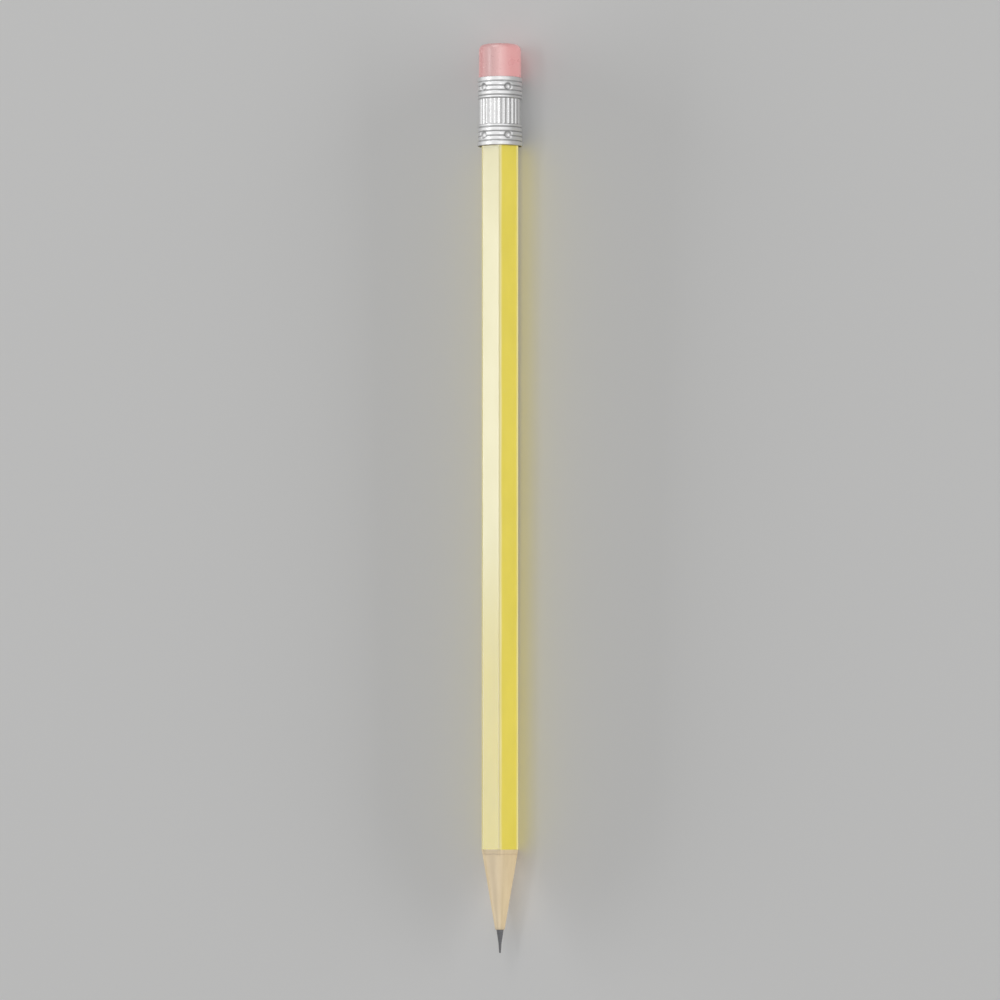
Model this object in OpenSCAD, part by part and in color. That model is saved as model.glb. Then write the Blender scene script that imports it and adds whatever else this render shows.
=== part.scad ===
// Wood-cased hexagonal pencil, sharpened, with a crimped metal ferrule and a rubber eraser.
// It lies on its side: the point looks along -X, the eraser along +X, and two flats are level.
// The origin is on the ground under the middle of its length, below the ferrule's lowest ring.

/* [Barrel] */
// Distance across the lacquered flats
across_flats = 7.1; // [6.5:0.1:9]
// Rounding radius of the six lacquered edges
edge_round = 0.5; // [0.2:0.05:0.8]
// Length of the lacquered barrel, from the shoulder to the ferrule's mouth
barrel_l = 136.7; // [60:0.1:165]
// Thickness of the lacquer
coat_t = 0.1; // [0.05:0.01:0.15]

/* [Sharpened end] */
// Length of the bare shoulder, which turns the hexagon into a circle
shoulder_l = 0.9; // [0.5:0.1:3]
// Length of the wood cone
cone_l = 14.6; // [10:0.1:24]
// How far the wood stands out past the lead where the lead comes out
wood_rim = 0.2; // [0.15:0.01:0.5]
// Size of the broken edge at the end of the wood
wood_end_break = 0.1; // [0.05:0.01:0.12]

/* [Lead] */
// Diameter of the lead
lead_d = 1.4; // [1:0.05:2.2]
// Length of lead that stands out of the wood
lead_out = 4.5; // [2.5:0.1:7]
// Length of the worn, nearly straight point
point_l = 1.8; // [1:0.1:2]
// Radius where the lead's cone runs into its worn point
point_r = 0.29; // [0.25:0.01:0.35]
// Radius of the blunt end
blunt_r = 0.18; // [0.1:0.01:0.2]

/* [Ferrule] */
// Length of the ferrule
ferrule_l = 13.35; // [12:0.05:18]
// Thickness of the ferrule's sheet
wall_t = 0.28; // [0.2:0.01:0.34]
// Length of each ringed band
band_l = 4.25; // [4.25:0.05:5.2]
// How far the rings stand above the crests of the flutes
ring_step = 0.35; // [0.3:0.01:0.6]
// Number of rolled grooves in a band
groove_count = 4; // [3:1:4]
// Distance from one rolled groove to the next
ring_pitch = 0.89; // [0.6:0.01:0.89]
// Distance from the ferrule's end to the first groove
lip_l = 0.9; // [0.8:0.01:0.9]
// Width of a rolled groove
groove_w = 0.44; // [0.3:0.01:0.44]
// Depth of a rolled groove
groove_depth = 0.19; // [0.1:0.01:0.22]
// Number of flutes in the middle band
flute_count = 26; // [16:1:32]
// Depth of a flute
flute_depth = 0.2; // [0.1:0.01:0.25]
// Angle of the first flute from straight up
flute_turn = 8.2; // [0:0.1:20]
// Length of the flare between the flutes and a ringed band
flare_l = 0.25; // [0.15:0.05:0.4]

/* [Crimps] */
// Number of crimps around each band
crimp_count = 5; // [3:1:6]
// Angle of the first crimp from straight up
crimp_turn = -19.5; // [-36:0.5:36]
// Distance from the ferrule's end to the middle of a crimp
crimp_place = 2; // [1.8:0.05:2.2]
// Radius of the round punch that makes a crimp
crimp_r = 0.77; // [0.6:0.01:0.9]
// Depth of a crimp below the rings
crimp_depth = 0.6; // [0.4:0.01:0.7]

/* [Eraser] */
// Length of eraser that stands out of the ferrule
eraser_out = 6.55; // [3:0.05:10]
// How far the ferrule's rings stand out past the eraser
lip_show = 0.25; // [0.2:0.01:0.4]
// Rounding radius of the eraser's end
eraser_round = 1.15; // [0.5:0.05:1.5]
// How far the eraser swells where the ferrule squeezes it
swell = 0.05; // [0:0.01:0.1]
// Length of the swollen stretch
swell_l = 1.2; // [0.5:0.1:1.5]

/* [Fits] */
// How much less than the flats the barrel's tenon measures, on the radius
tenon_cut = 0.05; // [0.02:0.01:0.2]
// How far the hexagon reaches into the ferrule before the tenon starts
seat_l = 0.55; // [0.3:0.05:0.6]
// Clearance between the ferrule and what it holds
fit_gap = 0.02; // [0.01:0.01:0.05]
// Clearance around the lead in its groove
glue_gap = 0.01; // [0.01:0.01:0.05]

/* [Hidden] */
$fn = 72;

// Radii, from the axis outwards
flat_r = across_flats / 2;
wood_flat_r = flat_r - coat_t;
lead_r = lead_d / 2;
wood_end_r = lead_r + wood_rim;
cone_r = wood_end_r + (flat_r - wood_end_r) * cone_l / (cone_l + shoulder_l);
tenon_r = flat_r - tenon_cut;
flute_in_r = tenon_r + fit_gap;
flute_root_r = flute_in_r + wall_t;
flute_crest_r = flute_root_r + flute_depth;
ring_r = flute_crest_r + ring_step;
shank_r = ring_r - groove_depth - wall_t - fit_gap;
head_r = ring_r - lip_show;

// Places along the axis, from the tip of the lead
cone_top = lead_out + cone_l;
shoulder = cone_top + shoulder_l;
mouth = shoulder + barrel_l;
lip = mouth + ferrule_l;
end = lip + eraser_out;
meeting = mouth + ferrule_l / 2;

// How far the ferrule's inside narrows ahead of its flare
throat_l = 0.2;

// Details that follow from the values above
throat_start = band_l - flare_l - throat_l;
lip_round = 0.12;
arc_steps = 6;
groove_steps = 8;
flute_steps = 8;
slice = 0.01;
reach = 2 * ring_r;

// Lays what is drawn from the tip along +Z down on its side, with local +X straight up
module lying() {
    translate([-end / 2, 0, ring_r])
        rotate([0, 90, 0])
            rotate([0, 0, 180])
                children();
}

// Points of an arc about a centre
function arc(centre, r, from, to, steps = arc_steps) =
    [for (k = [0:steps]) let (a = from + (to - from) * k / steps) centre + r * [cos(a), sin(a)]];

// Hexagon with a level top flat, half its distance across flats, and rounded corners
function hexagon(apothem, round_r) =
    [for (side = [0:5])
        let (corner = 30 + 60 * side, out = (apothem - round_r) / cos(30))
            each arc(out * [cos(corner), sin(corner)], round_r, corner - 30, corner + 30)];

// Wavy outline of the flutes, with its valleys at root_r
function flutes(root_r) =
    [for (k = [0:flute_count * flute_steps - 1])
        let (a = 360 * k / (flute_count * flute_steps))
            (root_r + flute_depth * (1 - cos(flute_count * (a - flute_turn))) / 2) * [cos(a), sin(a)]];

// Depth of a rolled groove at a distance d from its middle
function groove(d) = groove_depth * (1 + cos(360 * d / groove_w)) / 2;

// Ringed wall from the lip inwards, as points of radius and distance from the ferrule's end
function rings(r) =
    [for (g = [0:groove_count - 1], k = [0:groove_steps])
        let (d = groove_w * (k / groove_steps - 0.5))
            [r - groove(d), lip_l + g * ring_pitch + d]];

// Solid inside the outer surface of one ringed band, standing on the ferrule's end
module band_outside() {
    rotate_extrude()
        polygon(concat(
            [[0, 0]],
            arc([ring_r - lip_round, lip_round], lip_round, -90, 0),
            rings(ring_r),
            [[ring_r, band_l - flare_l], [flute_crest_r, band_l], [0, band_l]]
        ));
}

// Hollow inside one ringed band, which narrows to the flutes a little before the flare
module band_inside() {
    inside_r = ring_r - wall_t;
    rotate_extrude()
        polygon(concat(
            [[0, -slice], [inside_r, -slice]],
            rings(inside_r),
            [[inside_r, throat_start], [flute_in_r, throat_start + flare_l], [0, throat_start + flare_l]]
        ));
}

// Places its child at both ends of the ferrule, facing inwards
module both_ends() {
    children();
    translate([0, 0, ferrule_l])
        mirror([0, 0, 1])
            children();
}

// Round punches of one band, thicker all over by extra
module punches(extra) {
    for (k = [0:crimp_count - 1])
        rotate(crimp_turn + 360 * k / crimp_count)
            translate([ring_r - crimp_depth + crimp_r, 0, crimp_place])
                sphere(r = crimp_r + extra);
}

// Barrel, tenon, shoulder and cone before the wood is split
module wood() {
    chamfer_z = lead_out + wood_end_break;
    chamfer_r = wood_end_r + (cone_r - wood_end_r) * wood_end_break / cone_l;
    translate([0, 0, lead_out])
        cylinder(h = wood_end_break, r1 = wood_end_r - wood_end_break, r2 = chamfer_r);
    translate([0, 0, chamfer_z])
        cylinder(h = cone_l - wood_end_break, r1 = chamfer_r, r2 = cone_r);
    hull() {
        translate([0, 0, cone_top])
            linear_extrude(slice)
                circle(r = cone_r);
        translate([0, 0, shoulder - slice])
            linear_extrude(slice)
                polygon(hexagon(flat_r, edge_round));
    }
    translate([0, 0, shoulder])
        linear_extrude(barrel_l + seat_l)
            polygon(hexagon(wood_flat_r, edge_round - coat_t));
    intersection() {
        translate([0, 0, mouth])
            linear_extrude(meeting - mouth)
                polygon(hexagon(wood_flat_r, edge_round - coat_t));
        translate([0, 0, mouth])
            cylinder(h = ferrule_l, r = tenon_r);
    }
}

// One grooved slat: the half of the wood on the side that the sign gives
module slat(side) {
    lying()
        difference() {
            intersection() {
                wood();
                translate([side > 0 ? 0 : -reach, -reach, 0])
                    cube([reach, 2 * reach, end]);
            }
            cylinder(h = end, r = lead_r + glue_gap);
            translate([0, 0, mouth])
                punches(wall_t + fit_gap);
        }
}

module casing_half_upper() {
    color([0.85, 0.73, 0.58])
        slat(1);
}

module casing_half_lower() {
    color([0.83, 0.71, 0.56])
        slat(-1);
}

// Round graphite core, with its sharpened and slightly blunted point
module lead() {
    color([0.3, 0.3, 0.31])
        lying()
            rotate_extrude()
                polygon(concat(
                    arc([0, blunt_r], blunt_r, -90, -10),
                    [[point_r, point_l], [lead_r, lead_out], [lead_r, meeting], [0, meeting]]
                ));
}

// Skin of lacquer on the hexagon, from the shoulder to the ferrule's mouth
module lacquer_coat() {
    color([0.87, 0.8, 0.3])
        lying()
            translate([0, 0, shoulder])
                linear_extrude(barrel_l)
                    difference() {
                        polygon(hexagon(flat_r, edge_round));
                        polygon(hexagon(wood_flat_r, edge_round - coat_t));
                    }
}

// Thin tube with two ringed and crimped bands and a fluted middle
module ferrule() {
    color([0.8, 0.81, 0.82])
        lying()
            translate([0, 0, mouth])
                difference() {
                    union() {
                        both_ends()
                            band_outside();
                        translate([0, 0, band_l - slice])
                            linear_extrude(ferrule_l - 2 * band_l + 2 * slice)
                                polygon(flutes(flute_root_r));
                    }
                    difference() {
                        union() {
                            both_ends()
                                band_inside();
                            translate([0, 0, throat_start])
                                linear_extrude(ferrule_l - 2 * throat_start)
                                    polygon(flutes(flute_in_r));
                        }
                        both_ends()
                            punches(wall_t);
                    }
                    both_ends()
                        punches(0);
                }
}

// Rubber plug: a round-ended head, and a shank that the ferrule holds
module eraser() {
    color([0.86, 0.6, 0.6])
        lying()
            difference() {
                union() {
                    translate([0, 0, lip])
                        rotate_extrude()
                            polygon(concat(
                                [[0, 0], [head_r + swell, 0], [head_r, swell_l]],
                                arc([head_r - eraser_round, eraser_out - eraser_round], eraser_round, 0, 90),
                                [[0, eraser_out]]
                            ));
                    translate([0, 0, lip - throat_start])
                        cylinder(h = throat_start, r = shank_r);
                    translate([0, 0, meeting])
                        cylinder(h = lip - meeting, r = tenon_r);
                }
                translate([0, 0, lip])
                    mirror([0, 0, 1])
                        punches(wall_t + fit_gap);
            }
}

casing_half_upper();
casing_half_lower();
lead();
lacquer_coat();
ferrule();
eraser();
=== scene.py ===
"""A sharpened six-sided pencil with a crimped metal ferrule and a rubber eraser, lying on a pale floor."""

import math

import bmesh
import bpy
from mathutils import Matrix, Vector


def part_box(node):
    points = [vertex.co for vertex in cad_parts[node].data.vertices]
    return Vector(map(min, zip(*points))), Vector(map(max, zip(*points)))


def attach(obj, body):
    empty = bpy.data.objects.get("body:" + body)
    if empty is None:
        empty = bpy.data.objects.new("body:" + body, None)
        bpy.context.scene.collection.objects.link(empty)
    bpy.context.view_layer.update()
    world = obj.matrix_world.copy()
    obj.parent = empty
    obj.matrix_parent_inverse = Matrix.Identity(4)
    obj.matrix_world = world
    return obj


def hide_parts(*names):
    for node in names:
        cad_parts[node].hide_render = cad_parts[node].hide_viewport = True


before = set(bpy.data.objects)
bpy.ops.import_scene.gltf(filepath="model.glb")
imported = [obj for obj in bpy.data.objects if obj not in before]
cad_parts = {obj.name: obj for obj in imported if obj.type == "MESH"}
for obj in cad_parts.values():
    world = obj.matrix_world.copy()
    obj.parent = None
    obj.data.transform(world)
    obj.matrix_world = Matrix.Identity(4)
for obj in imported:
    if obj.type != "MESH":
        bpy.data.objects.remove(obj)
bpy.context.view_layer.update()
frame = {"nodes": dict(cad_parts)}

bl_info = {
    "name": "Pencil",
    "version": (1, 0, 0),
    "blender": (4, 5, 0),
    "location": "3D View > Sidebar > Pencil",
    "description": "Builds a sharpened pencil piece by piece on its construction model",
    "category": "Add Mesh",
}

LACQUER_LOW, LACQUER_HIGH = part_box("lacquer_coat")
FERRULE_LOW, FERRULE_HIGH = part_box("ferrule")
ERASER_LOW, ERASER_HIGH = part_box("eraser")
LEAD_LOW, LEAD_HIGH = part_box("lead")
SLAT_LOW, SLAT_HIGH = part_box("casing_half_upper")

# Places along the pencil, from the lead's tip to the eraser's end
TIP_X = LEAD_LOW.x
WOOD_END_X = SLAT_LOW.x
SHOULDER_X = LACQUER_LOW.x
MOUTH_X = FERRULE_LOW.x
MEETING_X = ERASER_LOW.x
LIP_X = FERRULE_HIGH.x
END_X = ERASER_HIGH.x

# The pencil's axis, and radii that the construction model gives
AXIS_Z = (FERRULE_LOW.z + FERRULE_HIGH.z) / 2
FLAT_R = (LACQUER_HIGH.z - LACQUER_LOW.z) / 2
RING_R = (FERRULE_HIGH.z - FERRULE_LOW.z) / 2
LEAD_R = (LEAD_HIGH.z - LEAD_LOW.z) / 2

MM = 0.001
QUARTER_TURN = math.pi / 2
HEX_SIDES = 6
HEX_CORNER = 1 / math.cos(math.pi / HEX_SIDES)
# Two points closer than this are the same point
SAME = 0.002 * MM
# A noise keeps mostly between these two values
NOISE_LOW = 0.3
NOISE_HIGH = 0.7
# A round piece's height over its axis, as a share of its radius, where its painted top light starts and is
# full
TOP_LIGHT_STARTS = 0.76
TOP_LIGHT_FULL = 0.97


# ---------------------------------------------------------------- modelling


def put_down():
    """Leaves edit mode and clears the selection, so that the next operator acts on its own piece only."""
    if bpy.context.mode != "OBJECT":
        bpy.ops.object.mode_set(mode="OBJECT")
    bpy.ops.object.select_all(action="DESELECT")


def take_up(piece):
    """Makes one piece the active and only selected one."""
    put_down()
    bpy.context.view_layer.objects.active = piece
    piece.select_set(True)


def open_up(piece):
    """Opens a piece's mesh for editing with nothing selected."""
    take_up(piece)
    bpy.ops.object.mode_set(mode="EDIT")
    bpy.ops.mesh.select_mode(type="VERT")
    bpy.ops.mesh.select_all(action="DESELECT")


def off_axis(point):
    """Distance of a point from the pencil's axis."""
    return math.hypot(point.y, point.z - AXIS_Z)


def round_axis(point):
    """Angle of a point about the axis, from straight up towards -Y, in radians."""
    return math.atan2(-point.y, point.z - AXIS_Z)


def way_at(degrees):
    """Direction square to the pencil, at an angle from straight up towards -Y."""
    angle = math.radians(degrees)
    return Vector((0, -math.sin(angle), math.cos(angle)))


def pick(piece, kind, test):
    """Selects the vertices, edges or faces of the open piece that pass a test, and counts them."""
    bpy.ops.mesh.select_all(action="DESELECT")
    bpy.ops.mesh.select_mode(type=kind)
    mesh = bmesh.from_edit_mesh(piece.data)
    parts = {"VERT": mesh.verts, "EDGE": mesh.edges, "FACE": mesh.faces}[kind]
    found = [part for part in parts if not part.hide and test(part)]
    for part in found:
        part.select_set(True)
    mesh.select_flush_mode()
    bmesh.update_edit_mesh(piece.data)
    if not found:
        raise RuntimeError(f"nothing to select on {piece.name}")
    return len(found)


def middle(edge):
    """Middle point of an edge."""
    return (edge.verts[0].co + edge.verts[1].co) / 2


def edge_at(x, inner, outer):
    """A test for edges that lie across the axis at x, between two radii."""
    def test(edge):
        there = all(abs(v.co.x - x) < SAME for v in edge.verts)
        return there and inner < off_axis(middle(edge)) < outer
    return test


def ring_at(x, inner, outer):
    """A test for vertices at x, between two radii."""
    return lambda v: abs(v.co.x - x) < SAME and inner < off_axis(v.co) < outer


def widen(ratio):
    """Resizes what is selected about the pencil's axis."""
    bpy.ops.transform.resize(value=(1, ratio, ratio), center_override=(0, 0, AXIS_Z))


def draw_out(dx, ratio=1.0):
    """Extrudes the selected ring of edges by dx along the axis, then resizes it."""
    bpy.ops.mesh.extrude_edges_move(TRANSFORM_OT_translate={"value": (dx, 0, 0)})
    if abs(ratio - 1) > 1e-7:
        widen(ratio)


def round_off(radius, steps):
    """Rounds the selected edges."""
    bpy.ops.mesh.bevel(offset=radius, segments=steps, profile=0.5, affect="EDGES")


def selected_radius(piece):
    """Mean distance of the selected vertices from the axis."""
    mesh = bmesh.from_edit_mesh(piece.data)
    radii = [off_axis(v.co) for v in mesh.verts if v.select]
    return sum(radii) / len(radii)


def start_ring(name, x, radius, count):
    """Adds a ring of edges round the axis at x and leaves it open and selected."""
    put_down()
    bpy.ops.mesh.primitive_circle_add(
        vertices=count,
        radius=radius,
        fill_type="NOTHING",
        location=(x, 0, AXIS_Z),
        rotation=(0, QUARTER_TURN, 0),
    )
    piece = bpy.context.object
    piece.name = name
    piece.data.name = name
    bpy.ops.object.transform_apply(location=True, rotation=True, scale=True)
    bpy.ops.object.mode_set(mode="EDIT")
    bpy.ops.mesh.select_mode(type="EDGE")
    bpy.ops.mesh.select_all(action="SELECT")
    return piece


def draw_profile(profile, start):
    """Draws the selected ring through the profile's stations; start is the ring's own station."""
    x, radius = start
    for next_x, next_radius in profile:
        draw_out(next_x - x, next_radius / radius)
        x, radius = next_x, next_radius


def taper(start, end, steps):
    """Stations of a straight slope from one station to another, without the first."""
    stations = []
    for k in range(1, steps + 1):
        share = k / steps
        stations.append((start[0] + (end[0] - start[0]) * share, start[1] + (end[1] - start[1]) * share))
    return stations


def start_hexagon(name, x_from, x_to, apothem, edge_round, steps):
    """Adds an open six-sided tube with level top and bottom flats and rounded long edges."""
    put_down()
    bpy.ops.mesh.primitive_cylinder_add(
        vertices=HEX_SIDES,
        radius=apothem * HEX_CORNER,
        depth=x_to - x_from,
        end_fill_type="NOTHING",
        location=((x_from + x_to) / 2, 0, AXIS_Z),
        rotation=(0, QUARTER_TURN, 0),
    )
    piece = bpy.context.object
    piece.name = name
    piece.data.name = name
    bpy.ops.object.transform_apply(location=True, rotation=True, scale=True)
    open_up(piece)
    pick(piece, "EDGE", lambda e: abs(e.verts[0].co.x - e.verts[1].co.x) > MM)
    round_off(edge_round * math.tan(math.pi / HEX_SIDES), steps)
    return piece


def face_outwards(piece):
    """Merges doubled points of the open, closed-up piece and turns all its faces outwards."""
    bpy.ops.mesh.reveal(select=False)
    bpy.ops.mesh.select_all(action="SELECT")
    bpy.ops.mesh.remove_doubles(threshold=SAME / 2)
    bpy.ops.mesh.select_all(action="SELECT")
    bpy.ops.mesh.normals_make_consistent(inside=False)
    # A thin tube can come out turned in on itself, and then its volume is below nothing
    if bmesh.from_edit_mesh(piece.data).calc_volume(signed=True) < 0:
        bpy.ops.mesh.flip_normals()
    bpy.ops.object.mode_set(mode="OBJECT")


def hand_over(piece, finish, nodes, crease=35):
    """Smooths a finished piece, gives it its material and puts it in its CAD nodes' place."""
    take_up(piece)
    bpy.ops.object.shade_smooth_by_angle(angle=math.radians(crease))
    even = piece.modifiers.new("Even shading", "WEIGHTED_NORMAL")
    even.keep_sharp = True
    even.weight = 90
    bpy.ops.object.modifier_apply(modifier=even.name)
    piece.data.materials.clear()
    piece.data.materials.append(finish)
    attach(piece, "root")
    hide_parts(*nodes)
    put_down()


# ---------------------------------------------------------------- material building


def new_finish(name):
    """A new material, its node tree and its main shader."""
    finish = bpy.data.materials.new(name)
    finish.use_nodes = True
    tree = finish.node_tree
    shader = next(n for n in tree.nodes if n.type == "BSDF_PRINCIPLED")
    return finish, tree, shader


def feed(tree, node, inputs):
    """Gives a node's sockets their values or links."""
    for socket, value in inputs.items():
        if isinstance(value, bpy.types.NodeSocket):
            tree.links.new(value, node.inputs[socket])
        else:
            node.inputs[socket].default_value = value


def put(tree, kind, inputs=None, **settings):
    """Adds a node; settings are its own properties, and inputs are values or links for its sockets."""
    node = tree.nodes.new("ShaderNode" + kind)
    for name, value in settings.items():
        setattr(node, name, value)
    feed(tree, node, inputs or {})
    return node


def on_axis(tree, shift=(0, 0, 0), scale=(1, 1, 1)):
    """Object coordinates measured from the pencil's axis, shifted and stretched."""
    spot = put(tree, "TexCoord").outputs["Object"]
    centred = put(tree, "Mapping", {"Vector": spot, "Location": (shift[0], shift[1], shift[2] - AXIS_Z)})
    return put(tree, "Mapping", {"Vector": centred.outputs[0], "Scale": scale}).outputs[0]


def noise(tree, spot, scale, detail=2.0, roughness=0.5):
    """Noise between 0 and 1 at a scale given in repeats a metre."""
    inputs = {"Vector": spot, "Scale": scale, "Detail": detail, "Roughness": roughness}
    return put(tree, "TexNoise", inputs, noise_dimensions="3D").outputs[0]


def span(tree, value, low, high, to_low=0.0, to_high=1.0):
    """Carries a value from one range to another and stops at the ends."""
    inputs = {"Value": value, "From Min": low, "From Max": high, "To Min": to_low, "To Max": to_high}
    return put(tree, "MapRange", inputs, clamp=True).outputs[0]


def spread(tree, pattern, to_low=0.0, to_high=1.0):
    """Carries a noise's usual range, from NOISE_LOW to NOISE_HIGH, to another one."""
    return span(tree, pattern, NOISE_LOW, NOISE_HIGH, to_low, to_high)


def sums(tree, operation, first, second):
    """One arithmetic step."""
    return put(tree, "Math", {0: first, 1: second}, operation=operation).outputs[0]


def tint(tree, share, first, second):
    """Mixes two colours by a share."""
    return put(tree, "Mix", {0: share, 6: first, 7: second}, data_type="RGBA").outputs[2]


def relief(tree, height, depth, strength=1.0, under=None):
    """A bump of a depth in metres, on top of another one if it is given."""
    inputs = {"Height": height, "Distance": depth, "Strength": strength}
    if under is not None:
        inputs["Normal"] = under
    return put(tree, "Bump", inputs).outputs[0]


def axis_radius(tree, spot):
    """Distance from the pencil's axis, and the place along it."""
    parts = put(tree, "SeparateXYZ", {0: spot}).outputs
    flat = put(tree, "CombineXYZ", {1: parts[1], 2: parts[2]}).outputs[0]
    radius = put(tree, "VectorMath", {0: flat}, operation="LENGTH").outputs["Value"]
    return radius, parts[0]


def painted_top_light_share(tree, spot, radius, leaning):
    """Share of the side that lies uppermost, which is painted paler as painted top light; it leans to -Y by
    an angle.
    """
    way = way_at(leaning)
    height = put(tree, "VectorMath", {0: spot, 1: way}, operation="DOT_PRODUCT").outputs["Value"]
    return span(tree, sums(tree, "DIVIDE", height, radius), TOP_LIGHT_STARTS, TOP_LIGHT_FULL)


def rgba(colour):
    """A colour with full cover."""
    return (colour[0], colour[1], colour[2], 1.0)


# ---------------------------------------------------------------- finishes


def lacquer_finish(looks):
    """Glossy yellow lacquer, drawn along the pencil, with a painted sheen on the upper flat, and a little
    thin and pale on the long edges, where the paleness is also a painted highlight.
    """
    finish, tree, shader = new_finish("Yellow pencil lacquer")
    spot = on_axis(tree)
    radius, along = axis_radius(tree, spot)
    streaks = noise(tree, on_axis(tree, scale=(0.03, 1, 1)), 2600, 3)
    clouds = noise(tree, on_axis(tree, scale=(0.35, 1, 1)), 320, 2)
    full = rgba(looks.lacquer)
    deep = rgba([c * 0.93 for c in looks.lacquer[:2]] + [looks.lacquer[2] * 0.8])
    body = tint(tree, spread(tree, clouds), deep, full)
    # The upper flat is painted paler towards the eraser's end, as a painted sheen
    height = put(tree, "SeparateXYZ", {0: spot}).outputs[2]
    painted_top_light = span(tree, height, FLAT_R - looks.flat_border, FLAT_R - looks.flat_surface)
    painted_top_light = sums(tree, "MULTIPLY", painted_top_light, span(tree, along, looks.painted_sheen_start, looks.painted_sheen_full))
    body = tint(tree, painted_top_light, body, rgba(looks.lacquer_painted_sheen))
    # The lacquer is thin and unevenly worn on the long edges, and its paleness there is made strong enough
    # to be a painted highlight
    edge = span(tree, radius, FLAT_R + looks.wear_highlight_start, FLAT_R + looks.wear_highlight_full, 0.0, 0.85)
    worn = sums(tree, "MULTIPLY", edge, span(tree, streaks, 0.35, 0.6, 0.5, 1.0))
    body = tint(tree, worn, body, rgba(looks.lacquer_worn_highlight))
    rough = spread(tree, clouds, 0.10, 0.14)
    rough = sums(tree, "ADD", rough, span(tree, streaks, 0.4, 0.8, 0.0, 0.05))
    waves = relief(tree, clouds, 0.02 * MM, 0.6)
    skin = relief(tree, streaks, 0.002 * MM, 0.5, waves)
    feed(tree, shader, {"Base Color": body, "Roughness": rough, "Normal": skin, "Coat Normal": waves})
    feed(tree, shader, {"IOR": 1.6, "Specular IOR Level": 0.9, "Coat Weight": 1.0, "Coat Roughness": 0.1})
    return finish


def wood_finish(looks, name, shift):
    """Pale pencil wood with fine grain, pores, cutter marks, a dark line where the cone starts, and a
    painted top light that makes the upper side paler.
    """
    finish, tree, shader = new_finish(name)
    spot = on_axis(tree)
    radius, along = axis_radius(tree, spot)
    bands = noise(tree, on_axis(tree, shift, (0.02, 1, 1)), 900, 3)
    fibres = noise(tree, on_axis(tree, shift, (0.03, 1, 1)), 5200, 4, 0.6)
    pores = noise(tree, on_axis(tree, shift, (0.09, 1, 1)), 9000, 2)
    blotches = noise(tree, on_axis(tree, shift, (0.4, 1, 1)), 420, 2)
    body = tint(tree, span(tree, bands, 0.35, 0.65), rgba(looks.wood_late), rgba(looks.wood))
    body = tint(tree, span(tree, fibres, 0.35, 0.6, 0.3, 0.0), body, rgba(looks.wood_late))
    body = tint(tree, span(tree, pores, 0.67, 0.75, 0.0, 0.28), body, rgba(looks.wood_pore))
    # The upper side is painted paler: painted top light
    painted_top_light = sums(tree, "MULTIPLY", painted_top_light_share(tree, spot, radius, 3), 0.95)
    body = tint(tree, painted_top_light, body, rgba(looks.wood_painted_lit))
    body = tint(tree, span(tree, blotches, 0.35, 0.65, 0.0, 0.18), body, rgba(looks.wood_late))
    # A faint dark line wanders round the wood where the cone starts
    wander = spread(tree, noise(tree, spot, 900, 3), -looks.line_wander, looks.line_wander)
    place = sums(tree, "ADD", along, wander)
    cone_x = SHOULDER_X - looks.shoulder_line
    apart = sums(tree, "ABSOLUTE", sums(tree, "SUBTRACT", place, cone_x), 0.0)
    line = span(tree, apart, looks.line_dark, looks.line_faint, 0.32, 0.0)
    body = tint(tree, line, body, rgba(looks.wood_pore))
    # Graphite has smudged the wood's end
    smudge = span(tree, along, WOOD_END_X + looks.smudge, WOOD_END_X, 0.0, 0.3)
    smudge = sums(tree, "MULTIPLY", smudge, span(tree, blotches, 0.3, 0.6, 0.5, 1.0))
    body = tint(tree, smudge, body, rgba(looks.graphite))
    rough = spread(tree, fibres, 0.64, 0.5)
    cutter = put(
        tree,
        "TexWave",
        {"Vector": spot, "Scale": 420, "Distortion": 1.5, "Detail": 2, "Detail Scale": 0.6},
        wave_type="BANDS",
        bands_direction="X",
    ).outputs[1]
    marks = relief(tree, cutter, 0.006 * MM, 0.5)
    grain = relief(tree, fibres, 0.02 * MM, 0.6, marks)
    pits = relief(tree, span(tree, pores, 0.64, 0.74, 1.0, 0.0), 0.02 * MM, 0.6, grain)
    feed(tree, shader, {"Base Color": body, "Roughness": rough, "Specular IOR Level": 1.0, "Normal": pits})
    return finish


def graphite_finish(looks):
    """Dark grey graphite with the fine turning marks of a sharpener and a dull metallic sheen."""
    finish, tree, shader = new_finish("Graphite lead")
    spot = on_axis(tree)
    turning = noise(tree, on_axis(tree, scale=(1, 0.12, 0.12)), 9000, 3, 0.6)
    patches = noise(tree, on_axis(tree, scale=(0.3, 1, 1)), 1800, 3)
    dull = rgba(looks.graphite)
    light = rgba([c * 1.5 for c in looks.graphite])
    body = tint(tree, span(tree, turning, 0.35, 0.65), dull, light)
    body = tint(tree, span(tree, patches, 0.4, 0.7, 0.0, 0.5), body, light)
    rough = spread(tree, patches, 0.34, 0.52)
    cut = relief(tree, turning, 0.01 * MM, 0.7)
    cut = relief(tree, noise(tree, spot, 14000, 2), 0.006 * MM, 0.5, cut)
    feed(tree, shader, {"Base Color": body, "Metallic": 0.25, "Roughness": rough, "Normal": cut})
    return finish


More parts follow.
